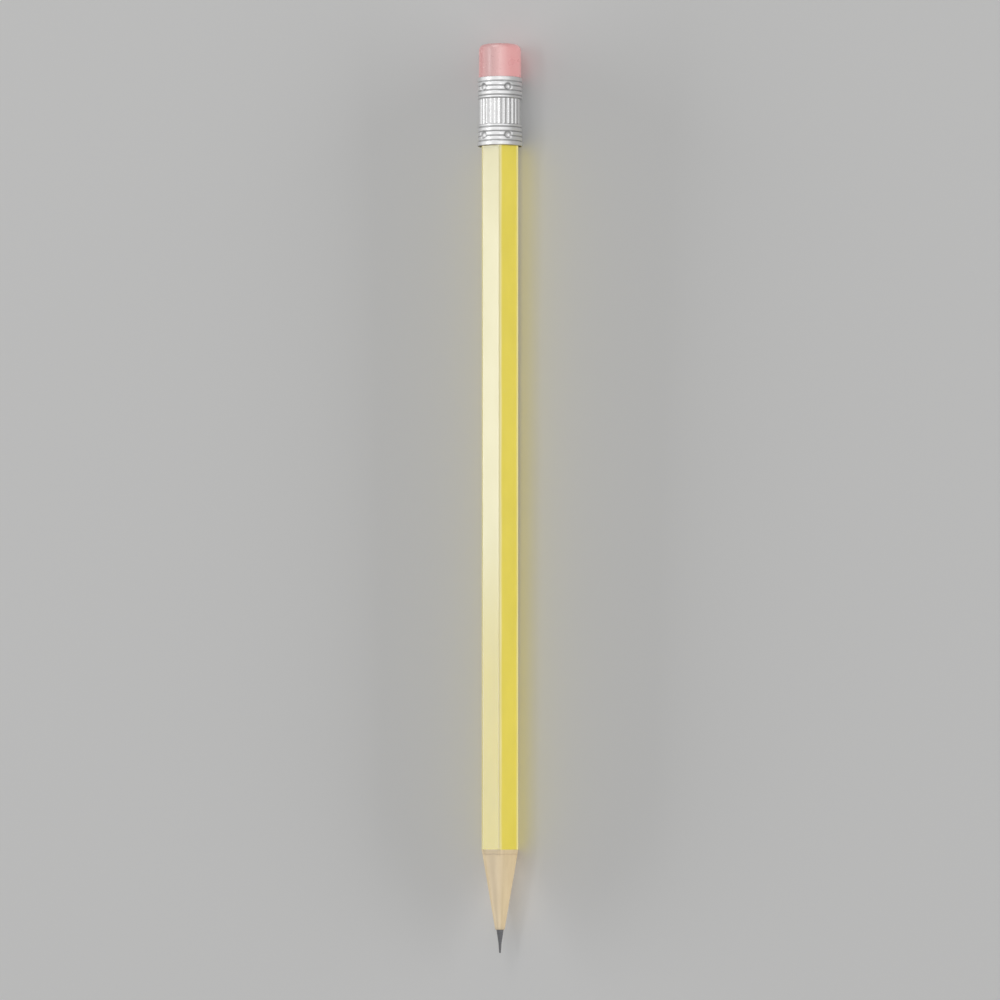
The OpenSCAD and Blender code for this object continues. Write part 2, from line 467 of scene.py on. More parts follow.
def ferrule_finish(looks, ring_r, sizes):
    """Bright rolled aluminium, softly brushed round the tube, with grey in its grooves and flutes that is
    partly grime and partly painted shade.
    """
    finish, tree, shader = new_finish("Ferrule aluminium")
    spot = on_axis(tree)
    radius, along = axis_radius(tree, spot)
    clouds = noise(tree, spot, 700, 3)
    brush = noise(tree, on_axis(tree, scale=(1, 0.06, 0.06)), 16000, 3, 0.6)
    specks = noise(tree, spot, 5200, 2)
    bright = rgba(looks.metal)
    # A grey for grime and specks, and for painted shade in the recesses
    grimy_and_shaded = rgba([c * 0.36 for c in looks.metal])
    # The share of the two ringed bands: nothing at the flutes, one beyond them
    apart = sums(tree, "ABSOLUTE", sums(tree, "SUBTRACT", along, (MOUTH_X + LIP_X) / 2), 0.0)
    fluted = (LIP_X - MOUTH_X) / 2 - sizes.band
    banded = span(tree, apart, fluted, fluted + looks.grime_and_shade_border)
    # Grime and painted shade lie in the rolled grooves, and less of them in the crimps and the flutes'
    # valleys
    ring_low = ring_r - sizes.groove_depth
    low = span(tree, radius, ring_low, ring_r - 0.2 * sizes.groove_depth, 1.0, 0.0)
    bare_r = ring_low - looks.grime_and_shade_reach
    ringed = span(tree, radius, bare_r, bare_r + looks.grime_and_shade_fade, 0.0, 0.8)
    low = sums(tree, "MULTIPLY", sums(tree, "MULTIPLY", low, ringed), banded)
    grime_and_shade = sums(tree, "MULTIPLY", low, span(tree, clouds, 0.3, 0.6, 0.6, 1.0))
    valley_r = sizes.crest_r - sizes.flute_depth
    valley = span(tree, radius, valley_r, valley_r + 0.65 * sizes.flute_depth, 0.45, 0.0)
    valley = sums(tree, "MULTIPLY", valley, sums(tree, "SUBTRACT", 1.0, banded))
    grime_and_shade = sums(tree, "MAXIMUM", grime_and_shade, valley)
    body = tint(tree, grime_and_shade, bright, grimy_and_shaded)
    body = tint(tree, span(tree, specks, 0.7, 0.76, 0.0, 0.25), body, grimy_and_shaded)
    # Grime and rolling have dulled the bright metal
    rough = spread(tree, clouds, 0.17, 0.27)
    rough = sums(tree, "ADD", rough, sums(tree, "MULTIPLY", grime_and_shade, 0.2))
    rough = sums(tree, "ADD", rough, sums(tree, "MULTIPLY", banded, 0.12))
    fine = relief(tree, brush, 0.003 * MM, 0.5)
    soft = relief(tree, clouds, 0.03 * MM, 0.5, fine)
    feed(tree, shader, {"Base Color": body, "Metallic": 1.0, "Roughness": rough, "Normal": soft})
    return finish


def rubber_finish(looks, head_r):
    """Pink eraser rubber with a fine moulded grain, a faintly dusty, uneven colour, and a painted top light
    that makes the upper side paler.
    """
    finish, tree, shader = new_finish("Pink eraser rubber")
    spot = on_axis(tree)
    clouds = noise(tree, spot, 380, 3)
    grain = noise(tree, spot, 9000, 3, 0.6)
    crumbs = noise(tree, spot, 3600, 2)
    full = rgba(looks.rubber)
    pale = rgba(looks.rubber_pale)
    deep = rgba([c * 0.86 for c in looks.rubber])
    body = tint(tree, spread(tree, clouds), full, pale)
    # The upper side is painted paler: painted top light
    painted_top_light = sums(tree, "MULTIPLY", painted_top_light_share(tree, spot, head_r, 12), 0.9)
    body = tint(tree, painted_top_light, body, rgba(looks.rubber_painted_lit))
    body = tint(tree, span(tree, crumbs, 0.62, 0.75, 0.0, 0.4), body, deep)
    body = tint(tree, span(tree, grain, 0.55, 0.8, 0.0, 0.25), body, pale)
    rough = spread(tree, clouds, 0.25, 0.33)
    lumps = relief(tree, clouds, 0.05 * MM, 0.4)
    lumps = relief(tree, grain, 0.012 * MM, 0.6, lumps)
    feed(tree, shader, {"Base Color": body, "Roughness": rough, "Normal": lumps})
    feed(tree, shader, {"IOR": 1.6, "Specular IOR Level": 1.0, "Coat Weight": 0.6, "Coat Roughness": 0.3})
    return finish


# ---------------------------------------------------------------- sizes and colours


def length(name, about, millimetres):
    """A size given in millimetres, with its name and what it is."""
    value = millimetres * MM
    return bpy.props.FloatProperty(name=name, description=about, default=value, unit="LENGTH", precision=6)


def angle(name, about, degrees):
    """An angle given in degrees, with its name and what it is."""
    value = math.radians(degrees)
    return bpy.props.FloatProperty(name=name, description=about, default=value, subtype="ANGLE")


def colour(name, about, value):
    """A colour, with its name, where it is and its value."""
    return bpy.props.FloatVectorProperty(
        name=name, description=about, default=value, size=3, min=0, max=1, subtype="COLOR"
    )


class BarrelSizes(bpy.types.PropertyGroup):
    """Sizes of the slats, the lead and the lacquer."""

    edge_round: length("Edge rounding", "Rounding radius of the six lacquered edges", 0.5)
    coat: length("Lacquer", "Thickness of the lacquer", 0.1)
    coat_break: length("Lacquer edge", "Softening of the lacquer's cut edge", 0.025)
    shoulder: length("Shoulder", "Length of the bare shoulder", 0.9)
    wood_end_r: length("Wood end", "Radius of the wood where the lead comes out", 0.9)
    wood_break: length("Wood end break", "Broken edge at the end of the wood", 0.1)
    tear: length("Torn fibres", "How far the shoulder's fibres are torn out of line", 0.05)
    tenon_r: length("Tenon", "Radius of the barrel's tenon inside the ferrule", 3.42)
    seat: length("Seat", "How far the hexagon reaches into the ferrule", 0.55)
    lead_gap: length("Lead gap", "Clearance around the lead in its groove", 0.01)
    point: length("Point", "Length of the worn, nearly straight point", 1.8)
    point_r: length("Point radius", "Radius where the lead's cone runs into its point", 0.29)
    blunt_r: length("Blunt end", "Radius of the lead's blunt end", 0.18)


class FerruleSizes(bpy.types.PropertyGroup):
    """Sizes of the ferrule and the eraser."""

    band: length("Ringed band", "Length of each ringed band", 4.25)
    lip: length("Lip", "Distance from the end to the first groove", 0.9)
    pitch: length("Ring pitch", "Distance from one rolled groove to the next", 0.89)
    groove: length("Groove", "Width of a rolled groove", 0.44)
    groove_depth: length("Groove depth", "Depth of a rolled groove", 0.19)
    flare: length("Flare", "Length of the flare between flutes and rings", 0.25)
    crest_r: length("Crests", "Radius of the flutes' crests", 4.0)
    flute_depth: length("Flute depth", "Depth of a flute", 0.2)
    wall: length("Sheet", "Thickness of the ferrule's sheet", 0.28)
    step_start: length("Step starts", "Distance from the end to the step in the lining", 0.55)
    step_stop: length("Step ends", "Distance from the end to the lining's narrow part", 0.7)
    throat_slope: length("Throat's slope", "How far before the flare the throat starts to narrow", 0.2)
    throat_r: length("Throat", "Inside radius of the fluted middle", 3.52)
    end_round: length("End rounding", "Rounding of the ferrule's rolled ends", 0.1)
    crimp_place: length("Crimp place", "Distance from the end to a crimp's middle", 2.0)
    crimp_r: length("Crimp radius", "Radius of a crimp at the rings", 0.76)
    crimp_depth: length("Crimp depth", "Depth of a crimp", 0.58)
    head_r: length("Eraser", "Radius of the eraser's head", 4.1)
    swell: length("Swell", "How far the eraser swells at the ferrule", 0.05)
    swell_length: length("Swollen stretch", "Length of the swollen stretch", 1.2)
    head_round: length("Eraser rounding", "Rounding radius of the eraser's end", 1.15)
    shank_r: length("Shank", "Radius of the eraser inside the ferrule", 3.42)
    grooves: bpy.props.IntProperty(name="Grooves", description="Rolled grooves in a band", default=4)
    flutes: bpy.props.IntProperty(name="Flutes", description="Flutes in the middle", default=26)
    crimps: bpy.props.IntProperty(name="Crimps", description="Crimps around each band", default=5)
    first_flute: angle("First flute", "Angle of a valley from straight up", 8.2)
    first_crimp: angle("First crimp", "Angle of a crimp from straight up", -19.5)


class PencilLooks(bpy.types.PropertyGroup):
    """Colours of the finishes, and the places where they change."""

    lacquer: colour("Lacquer", "Body of the lacquer", (0.78, 0.64, 0.045))
    # Painted sheen: the upper flat's lacquer, painted paler where light glances off it
    lacquer_painted_sheen: colour("Faded lacquer", "Lacquer of the upper flat, faded in the light", (0.72, 0.64, 0.20))
    # Painted highlight on the long edges, over thin, worn lacquer
    lacquer_worn_highlight: colour("Thin lacquer", "Lacquer where it is thin on the edges", (0.84, 0.75, 0.34))
    wood: colour("Wood", "Pale early wood", (0.69, 0.55, 0.34))
    wood_late: colour("Late wood", "Darker late wood", (0.61, 0.475, 0.285))
    # Painted top light: the upper side's wood, painted paler
    wood_painted_lit: colour("Faded wood", "Wood of the upper side, faded in the light", (0.96, 0.785, 0.535))
    wood_pore: colour("Pores", "Pores and dark lines in the wood", (0.36, 0.23, 0.12))
    graphite: colour("Graphite", "Graphite of the lead", (0.11, 0.11, 0.115))
    metal: colour("Aluminium", "Aluminium of the ferrule", (0.90, 0.90, 0.905))
    rubber: colour("Rubber", "Pink rubber", (0.69, 0.29, 0.29))
    rubber_pale: colour("Pale rubber", "Dusty pale rubber", (0.71, 0.325, 0.32))
    # Painted top light: the upper side's rubber, painted paler
    rubber_painted_lit: colour("Faded rubber", "Rubber of the upper side, faded in the light", (0.92, 0.53, 0.52))
    floor: colour("Floor", "Pale floor", (0.76, 0.76, 0.755))
    # These four place the painted sheen on the upper flat, along the pencil and below the flat
    painted_sheen_start: length("Fading starts", "Where along the pencil the fading starts", -35)
    painted_sheen_full: length("Full fading", "Where along the pencil the fading is full", -8)
    flat_border: length("Flat's border", "How far below the upper flat its fading starts", 0.3)
    flat_surface: length("Flat's surface", "How far below it the fading is full", 0.04)
    # Where the long edges' wear and painted highlight lie
    wear_highlight_start: length("Thin edge starts", "How far past the flats' radius the wear starts", 0.3)
    wear_highlight_full: length("Thin edge", "How far past the flats' radius the edge is worn", 0.45)
    shoulder_line: length("Shoulder line", "How far the cone's dark line is from the lacquer", 0.9)
    line_wander: length("Line's wander", "How far the dark line strays from its place", 0.08)
    line_dark: length("Line's middle", "Half the width of the dark line's darkest part", 0.03)
    line_faint: length("Line's border", "Half the whole width of the dark line", 0.17)
    smudge: length("Smudge", "How far the lead has smudged the wood", 0.7)
    # These three place the grime and painted shade of the ferrule's grooves, crimps and bands
    grime_and_shade_reach: length("Grime's reach", "How far below the grooves the crimps are clean", 0.28)
    grime_and_shade_fade: length("Grime's fading", "Depth over which the crimps' grime fades", 0.08)
    grime_and_shade_border: length("Grime's border", "Length over which the bands' finish ends", 0.1)


class StudioSizes(bpy.types.PropertyGroup):
    """Camera and lamps."""

    distance: length("Camera distance", "Distance of the camera from the pencil", 1250)
    frame: length("Frame", "Length that the picture spans at the pencil", 194.25)
    aim: length("Aim", "Where the picture's middle is along the pencil", -0.5)
    elevation: angle("Elevation", "Camera's angle above the floor", 60)
    lean: angle("Lean", "How far the camera stands towards the point's end", 2.6)
    floor_size: length("Floor size", "Side of the floor", 6000)
    row_distance: length("Softboxes", "Distance of the rows of softboxes from the pencil", 1300)
    panel_distance: length("Panels", "Distance of the low panels from the pencil", 3000)
    panel_length: length("Panels' length", "Length of the low panels", 3400)
    room_light: bpy.props.FloatProperty(
        name="Room light", description="Strength of the room's even light", default=0.37
    )
    wall_low: colour("Low walls", "The room near the floor, as reflections see it", (0.4, 0.4, 0.398))
    wall_high: colour("High walls", "The room above, as reflections see it", (0.88, 0.88, 0.875))


# ---------------------------------------------------------------- pieces


class PENCIL_OT_slats(bpy.types.Operator):
    """Build the two grooved wood slats, with the cone, the shoulder and the tenon"""

    bl_idname = "pencil.slats"
    bl_label = "Wood slats"

    # Steps of a rounded edge, cuts across a flat, and rings along the cone
    edge_steps = 6
    flat_cuts = 11
    cone_rings = 30
    tear_seed = 7
    # The lower slat comes from another place in the wood, in metres
    other_grain = (0.021, 0.004, 0.003)

    def execute(self, context):
        sizes = context.scene.pencil_barrel
        looks = context.scene.pencil_looks
        wood_flat_r = FLAT_R - sizes.coat
        inside_round = sizes.edge_round * wood_flat_r / FLAT_R
        seat_x = MOUTH_X + sizes.seat
        whole = start_hexagon("slat_upper", SHOULDER_X, seat_x, wood_flat_r, inside_round, self.edge_steps)
        across = wood_flat_r / 2
        pick(
            whole,
            "EDGE",
            lambda e: abs(e.verts[0].co.x - e.verts[1].co.x) < SAME and e.calc_length() > across,
        )
        bpy.ops.mesh.subdivide(number_cuts=self.flat_cuts)
        # The shoulder turns the hexagon into the cone's circle
        pick(whole, "EDGE", edge_at(SHOULDER_X, 0, RING_R))
        draw_out(0, FLAT_R / wood_flat_r)
        cone_x = SHOULDER_X - sizes.shoulder
        draw_out(-sizes.shoulder)
        bpy.ops.transform.tosphere(value=1)
        cone_length = cone_x - WOOD_END_X
        slope = (FLAT_R - sizes.wood_end_r) / (SHOULDER_X - WOOD_END_X)
        cone_r = sizes.wood_end_r + slope * cone_length
        widen(cone_r / selected_radius(whole))
        # The cone, its broken edge and the groove for the lead
        profile = taper((cone_x, cone_r), (WOOD_END_X, sizes.wood_end_r), self.cone_rings)
        profile[-1] = (WOOD_END_X + sizes.wood_break, sizes.wood_end_r + slope * sizes.wood_break)
        groove_r = LEAD_R + sizes.lead_gap
        profile.append((WOOD_END_X, sizes.wood_end_r - sizes.wood_break))
        profile.append((WOOD_END_X, groove_r))
        draw_profile(profile, (cone_x, cone_r))
        # The tenon at the other end
        pick(whole, "EDGE", edge_at(seat_x, 0, RING_R))
        draw_out(0)
        bpy.ops.transform.tosphere(value=1)
        widen(sizes.tenon_r / selected_radius(whole))
        draw_profile([(MEETING_X, sizes.tenon_r), (MEETING_X, groove_r)], (seat_x, sizes.tenon_r))
        pick(whole, "EDGE", lambda e: e.is_boundary and off_axis(middle(e)) < groove_r + SAME)
        bpy.ops.mesh.bridge_edge_loops()
        # Torn fibres where the cone starts
        pick(whole, "VERT", ring_at(cone_x, cone_r - SAME, cone_r + SAME))
        bpy.ops.transform.vertex_random(offset=sizes.tear, uniform=0.0, normal=0.0, seed=self.tear_seed)
        face_outwards(whole)
        other = whole.copy()
        other.data = whole.data.copy()
        other.name = "slat_lower"
        other.data.name = "slat_lower"
        context.collection.objects.link(other)
        for piece, above in ((whole, True), (other, False)):
            open_up(piece)
            bpy.ops.mesh.select_all(action="SELECT")
            bpy.ops.mesh.bisect(
                plane_co=(0, 0, AXIS_Z),
                plane_no=(0, 0, 1),
                use_fill=True,
                clear_inner=above,
                clear_outer=not above,
                threshold=SAME / 4,
            )
            face_outwards(piece)
        upper = wood_finish(looks, "Pencil wood, upper slat", (0, 0, 0))
        lower = wood_finish(looks, "Pencil wood, lower slat", self.other_grain)
        hand_over(whole, upper, ["casing_half_upper"])
        hand_over(other, lower, ["casing_half_lower"])
        return {"FINISHED"}


class PENCIL_OT_core(bpy.types.Operator):
    """Build the graphite core with its sharpened, slightly blunted point"""

    bl_idname = "pencil.core"
    bl_label = "Graphite core"

    sides = 64
    cone_rings = 8
    # The worn end's length, its width at the tip and its rounding, as shares of its radius
    worn_length = 0.6
    worn_width = 0.92
    worn_round = 0.55
    worn_steps = 6

    def execute(self, context):
        sizes = context.scene.pencil_barrel
        core = start_ring("graphite_core", MEETING_X, LEAD_R, self.sides)
        cone = (WOOD_END_X, LEAD_R)
        point = (TIP_X + sizes.point, sizes.point_r)
        neck = (TIP_X + sizes.blunt_r * self.worn_length, sizes.blunt_r)
        profile = [cone]
        profile += taper(cone, point, self.cone_rings)
        profile += taper(point, neck, self.cone_rings)
        profile.append((TIP_X, sizes.blunt_r * self.worn_width))
        draw_profile(profile, (MEETING_X, LEAD_R))
        bpy.ops.mesh.edge_face_add()
        pick(core, "EDGE", edge_at(TIP_X, 0, LEAD_R))
        round_off(sizes.blunt_r * self.worn_round, self.worn_steps)
        pick(core, "EDGE", edge_at(MEETING_X, 0, RING_R))
        bpy.ops.mesh.edge_face_add()
        face_outwards(core)
        finish = graphite_finish(context.scene.pencil_looks)
        hand_over(core, finish, ["lead"])
        return {"FINISHED"}


class PENCIL_OT_lacquer(bpy.types.Operator):
    """Build the skin of lacquer on the hexagon"""

    bl_idname = "pencil.lacquer"
    bl_label = "Lacquer"

    edge_steps = 8
    break_steps = 3

    def execute(self, context):
        sizes = context.scene.pencil_barrel
        skin = start_hexagon("lacquer_skin", SHOULDER_X, MOUTH_X, FLAT_R, sizes.edge_round, self.edge_steps)
        bpy.ops.mesh.select_all(action="SELECT")
        bpy.ops.mesh.normals_make_consistent(inside=False)
        bpy.ops.object.mode_set(mode="OBJECT")
        wall = skin.modifiers.new("Thickness", "SOLIDIFY")
        wall.thickness = sizes.coat
        wall.offset = -1
        wall.use_even_offset = True
        wall.use_rim = True
        bpy.ops.object.modifier_apply(modifier=wall.name)
        open_up(skin)
        outside = FLAT_R - sizes.coat / 2
        pick(
            skin,
            "EDGE",
            lambda e: edge_at(SHOULDER_X, outside, RING_R)(e) or edge_at(MOUTH_X, outside, RING_R)(e),
        )
        round_off(sizes.coat_break, self.break_steps)
        face_outwards(skin)
        finish = lacquer_finish(context.scene.pencil_looks)
        hand_over(skin, finish, ["lacquer_coat"])
        return {"FINISHED"}


class PENCIL_OT_ferrule(bpy.types.Operator):
    """Build the ringed, fluted and crimped ferrule"""

    bl_idname = "pencil.ferrule"
    bl_label = "Ferrule"

    columns_a_flute = 12
    rows_a_groove = 8
    fluted_rows = 6
    lining_rows = 24
    end_steps = 4
    # How far the punch reaches outside and in the lining, which rings it flattens and how far the metal
    # settles round it, as shares of a crimp's radius
    reach_outside = 1.05
    reach_inside = 1.15
    flattened = 0.85
    settled = 1.12
    # The lining is dented by this share of the depth, and each dent is pressed as a dome, then as a dip
    depth_inside = 0.66
    dent = ((0.45, "SPHERE"), (0.55, "SMOOTH"))

    def ringed(self, sizes):
        """Stations of one band's outside, as distance from the ferrule's end and radius."""
        stations = []
        flat = sizes.band - sizes.flare
        steps = round(self.rows_a_groove * flat / sizes.groove)
        for k in range(steps + 1):
            at = flat * k / steps
            dip = 0
            for g in range(sizes.grooves):
                off = at - sizes.lip - g * sizes.pitch
                if abs(off) < sizes.groove / 2:
                    dip = sizes.groove_depth * (1 + math.cos(math.tau * off / sizes.groove)) / 2
            stations.append((at, RING_R - dip))
        stations.append((sizes.band - sizes.flare / 2, (RING_R + sizes.crest_r) / 2))
        stations.append((sizes.band, sizes.crest_r))
        return stations

    def lined(self, sizes):
        """Stations of one band's inside."""
        wide = RING_R - sizes.wall
        narrow = wide - sizes.groove_depth
        step = (sizes.step_stop, narrow)
        stop = sizes.band - sizes.flare - sizes.throat_slope
        stations = [(0, wide), (sizes.step_start, wide), step]
        stations += taper(step, (stop, narrow), self.lining_rows)
        stations.append((sizes.band - sizes.flare / 2, sizes.throat_r))
        return stations

    def under_punch(self, spot, out, reach):
        """A test for vertices of the near wall that lie within reach of a crimp's centre line."""

        def test(v):
            apart = v.co - spot
            height = apart.dot(out)
            return height > -MM and (apart - out * height).length < reach
        return test

    def press(self, ferrule, sizes, inside):
        """Presses the crimps of both bands into the outer or the inner wall."""
        narrow = RING_R - sizes.wall - sizes.groove_depth
        wall_r = narrow if inside else RING_R
        reach = sizes.crimp_r * (self.reach_inside if inside else self.reach_outside)
        depth = sizes.crimp_depth * (self.depth_inside if inside else 1)
        for end, into in ((MOUTH_X, 1), (LIP_X, -1)):
            for k in range(sizes.crimps):
                turn = sizes.first_crimp + math.tau * k / sizes.crimps
                out = way_at(math.degrees(turn))
                spot = Vector((end + into * sizes.crimp_place, 0, AXIS_Z)) + out * wall_r
                if not inside:
                    # The punch flattens the rings under it before it presses them in
                    pick(ferrule, "VERT", self.under_punch(spot, out, reach * self.flattened))
                    side = Vector((1, 0, 0))
                    bpy.ops.transform.resize(
                        value=(1, 1, 0),
                        orient_type="GLOBAL",
                        orient_matrix=(side, out.cross(side), out),
                        orient_matrix_type="GLOBAL",
                        center_override=spot - out * sizes.groove_depth / 2,
                    )
                mesh = bmesh.from_edit_mesh(ferrule.data)
                shown = [v for v in mesh.verts if not v.hide]
                nearest = min(shown, key=lambda v: (v.co - spot).length_squared)
                bpy.ops.mesh.select_all(action="DESELECT")
                nearest.select_set(True)
                bmesh.update_edit_mesh(ferrule.data)
                for share, falloff in self.dent:
                    bpy.ops.transform.translate(
                        value=tuple(-out * depth * share),
                        use_proportional_edit=True,
                        proportional_edit_falloff=falloff,
                        proportional_size=reach,
                        use_proportional_connected=False,
                    )
                if not inside:
                    # The metal settles smoothly round the dent
                    pick(ferrule, "VERT", self.under_punch(spot, out, reach * self.settled))
                    bpy.ops.mesh.vertices_smooth(factor=0.5, repeat=5)

    def execute(self, context):
        sizes = context.scene.pencil_ferrule
        count = sizes.flutes * self.columns_a_flute
        half = self.ringed(sizes)
        profile = [(MOUTH_X + at, r) for at, r in half]
        flutes = taper(profile[-1], (LIP_X - sizes.band, sizes.crest_r), self.fluted_rows)
        profile += flutes[:-1]
        profile += [(LIP_X - at, r) for at, r in reversed(half)]
        lining = self.lined(sizes)
        profile += [(LIP_X - at, r) for at, r in lining]
        profile += [(MOUTH_X + at, r) for at, r in reversed(lining)]
        profile.append(profile[0])
        ferrule = start_ring("ferrule_tube", profile[0][0], profile[0][1], count)
        draw_profile(profile[1:], profile[0])
        bpy.ops.mesh.select_all(action="SELECT")
        bpy.ops.mesh.remove_doubles(threshold=SAME / 2)
        # The flutes are pressed in by columns, each as deep as its place in the wave
        first = MOUTH_X + sizes.band - SAME
        last = LIP_X - sizes.band + SAME
        column = math.tau / count
        inside_r = (sizes.throat_r + sizes.crest_r - sizes.flute_depth) / 2
        for step in range(self.columns_a_flute // 2):
            wave = (1 + math.cos(math.tau * step / self.columns_a_flute)) / 2

            def in_column(v):
                if not first < v.co.x < last or off_axis(v.co) < inside_r:
                    return False
                turned = round((round_axis(v.co) - sizes.first_flute) / column) % self.columns_a_flute
                return min(turned, self.columns_a_flute - turned) == step

            pick(ferrule, "VERT", in_column)
            widen((sizes.crest_r - sizes.flute_depth * wave) / sizes.crest_r)
        # The crimps are pressed into the outer wall first, then into the lining
        wall_r = RING_R - sizes.groove_depth - sizes.wall / 3
        pick(ferrule, "VERT", lambda v: off_axis(v.co) > wall_r or first < v.co.x < last)
        mesh = bmesh.from_edit_mesh(ferrule.data)
        outer = {v.index for v in mesh.verts if v.select}
        bpy.ops.mesh.hide(unselected=True)
        self.press(ferrule, sizes, False)
        bpy.ops.mesh.reveal(select=False)
        pick(ferrule, "VERT", lambda v: v.index in outer)
        bpy.ops.mesh.hide(unselected=False)
        self.press(ferrule, sizes, True)
        bpy.ops.mesh.reveal(select=False)
        for x in (MOUTH_X, LIP_X):
            pick(ferrule, "EDGE", edge_at(x, RING_R - sizes.wall - SAME, RING_R + SAME))
            round_off(sizes.end_round, self.end_steps)
        face_outwards(ferrule)
        looks = context.scene.pencil_looks
        finish = ferrule_finish(looks, RING_R, sizes)
        hand_over(ferrule, finish, ["ferrule"], 50)
        return {"FINISHED"}


class PENCIL_OT_eraser(bpy.types.Operator):
    """Build the eraser: a head with a rounded rim, and the shank that the ferrule holds"""

    bl_idname = "pencil.eraser"
    bl_label = "Eraser"

    sides = 120
    swell_rings = 8
    end_steps = 12

    def execute(self, context):
        sizes = context.scene.pencil_ferrule
        start = (MEETING_X, sizes.shank_r)
        plug = start_ring("eraser_plug", start[0], start[1], self.sides)
        profile = [(LIP_X, sizes.shank_r), (LIP_X, sizes.head_r + sizes.swell)]
        for k in range(1, self.swell_rings + 1):
            share = k / self.swell_rings
            ease = (1 + math.cos(math.pi * share)) / 2
            profile.append((LIP_X + sizes.swell_length * share, sizes.head_r + sizes.swell * ease))
        profile.append((END_X, sizes.head_r))
        draw_profile(profile, start)
        bpy.ops.mesh.edge_face_add()
        pick(plug, "EDGE", edge_at(END_X, 0, RING_R))
        round_off(sizes.head_round, self.end_steps)
        pick(plug, "EDGE", edge_at(MEETING_X, 0, RING_R))
        bpy.ops.mesh.edge_face_add()
        face_outwards(plug)
        finish = rubber_finish(context.scene.pencil_looks, sizes.head_r)
        hand_over(plug, finish, ["eraser"])
        return {"FINISHED"}


class PENCIL_OT_studio(bpy.types.Operator):
    """Set up the pale floor, the soft lamps, the world and the camera"""

    bl_idname = "pencil.studio"
    bl_label = "Studio"

    # Softboxes in two rows above the pencil. Each has a name, an angle from straight up towards -Y in
    # degrees, the two places along the pencil where it ends, a width in metres and a brightness
    softboxes = (
        ("tip softbox", -30, -0.16, 0.028, 0.2, 1.9),
        ("top softbox", -30, 0.028, 0.204, 0.2, 3.1),
        ("eraser softbox", -30, 0.234, 0.36, 0.2, 3.4),
        ("front strip", 32, -0.25, 0.18, 0.1, 2.0),
        ("eraser strip", 32, 0.234, 0.4, 0.1, 2.4),
    )
    # Low panels that reflections don't see. Each has a name, an angle, a height in metres and a brightness
    panels = (
        ("side panel", 82, 0.75, 8.6),
        ("rear panel", -83, 0.68, 10.0),
    )
    # The softbox beyond the eraser's end: its place, its size and its brightness
    end_spot = (1.1, 0.1, 0.75)
    end_size = (0.45, 0.45)
    end_radiance = 2.2
    # Width of the camera's film in millimetres, and the nearest and farthest that it sees, in metres
    film = 36
    sight = (0.05, 50)

    def lay_floor(self, context):
        """A pale floor that touches the ferrule's ring and the lacquer's end at the shoulder."""
        sizes = context.scene.pencil_studio
        put_down()
        bpy.ops.mesh.primitive_plane_add(size=sizes.floor_size, location=(0, 0, 0))
        floor = bpy.context.object
        floor.name = "floor"
        rise = (AXIS_Z - FLAT_R) / (MOUTH_X - SHOULDER_X)
        floor.rotation_euler = (0, math.atan(rise), 0)
        floor.location = (0, 0, rise * MOUTH_X)
        finish, tree, shader = new_finish("Pale floor")
        pale = rgba(context.scene.pencil_looks.floor)
        feed(tree, shader, {"Base Color": pale, "Roughness": 0.9, "Specular IOR Level": 0.1})
        floor.data.materials.append(finish)
        put_down()

    def hang_lamp(self, name, spot, aim, size, radiance):
        """A rectangular soft lamp at a spot, facing a point, as bright as its radiance says."""
        put_down()
        bpy.ops.object.light_add(type="AREA", location=spot)
        lamp = bpy.context.object
        lamp.name = name
        lamp.data.name = name
        lamp.data.shape = "RECTANGLE"
        lamp.data.size = size[0]
        lamp.data.size_y = size[1]
        lamp.data.energy = radiance * math.pi * size[0] * size[1]
        back = (Vector(spot) - Vector(aim)).normalized()
        along = (Vector((1, 0, 0)) - back * back.x).normalized()
        turned = Matrix((along, back.cross(along), back)).transposed()
        lamp.rotation_euler = turned.to_euler()
        lamp.visible_camera = False
        put_down()
        return lamp

    def light_world(self, context):
        """An even pale room; reflections see it paler, but dim near the floor and at the tip's end."""
        sizes = context.scene.pencil_studio
        world = bpy.data.worlds.new("Pale room")
        context.scene.world = world
        world.use_nodes = True
        tree = world.node_tree
        tree.nodes.clear()
        way = put(tree, "TexCoord").outputs["Generated"]
        parts = put(tree, "SeparateXYZ", {0: way}).outputs
        # The pale part of the walls starts low over the floor and gives out at the tip's end
        above_floor = span(tree, parts[2], 0.05, 0.22)
        off_tip_end = span(tree, parts[0], -0.85, -0.25, 0.15, 1.0)
        open_share = sums(tree, "MULTIPLY", above_floor, off_tip_end)
        wall = tint(tree, open_share, rgba(sizes.wall_low), rgba(sizes.wall_high))
        soft = put(tree, "Background", {"Color": rgba((1, 1, 1)), "Strength": sizes.room_light})
        seen = put(tree, "Background", {"Color": wall, "Strength": 1.0})
        path = put(tree, "LightPath").outputs
        share = sums(tree, "MAXIMUM", path["Is Camera Ray"], path["Is Glossy Ray"])
        share = sums(tree, "MAXIMUM", share, path["Is Transmission Ray"])
        mixed = put(tree, "MixShader", {0: share, 1: soft.outputs[0], 2: seen.outputs[0]})
        put(tree, "OutputWorld", {"Surface": mixed.outputs[0]})

    def set_camera(self, context):
        """A long lens from above and to the -Y side, with the pencil upright and its point down."""
        sizes = context.scene.pencil_studio
        put_down()
        bpy.ops.object.camera_add()
        camera = bpy.context.object
        camera.name = "camera"
        level = Vector((0, -math.cos(sizes.elevation), math.sin(sizes.elevation)))
        back = level * math.cos(sizes.lean) - Vector((math.sin(sizes.lean), 0, 0))
        up = (Vector((1, 0, 0)) - back * back.x).normalized()
        turned = Matrix((up.cross(back), up, back)).transposed()
        camera.rotation_euler = turned.to_euler()
        camera.location = Vector((sizes.aim, 0, AXIS_Z)) + back * sizes.distance
        camera.data.sensor_width = self.film
        camera.data.lens = self.film * sizes.distance / sizes.frame
        camera.data.clip_start, camera.data.clip_end = self.sight
        context.scene.camera = camera
        put_down()

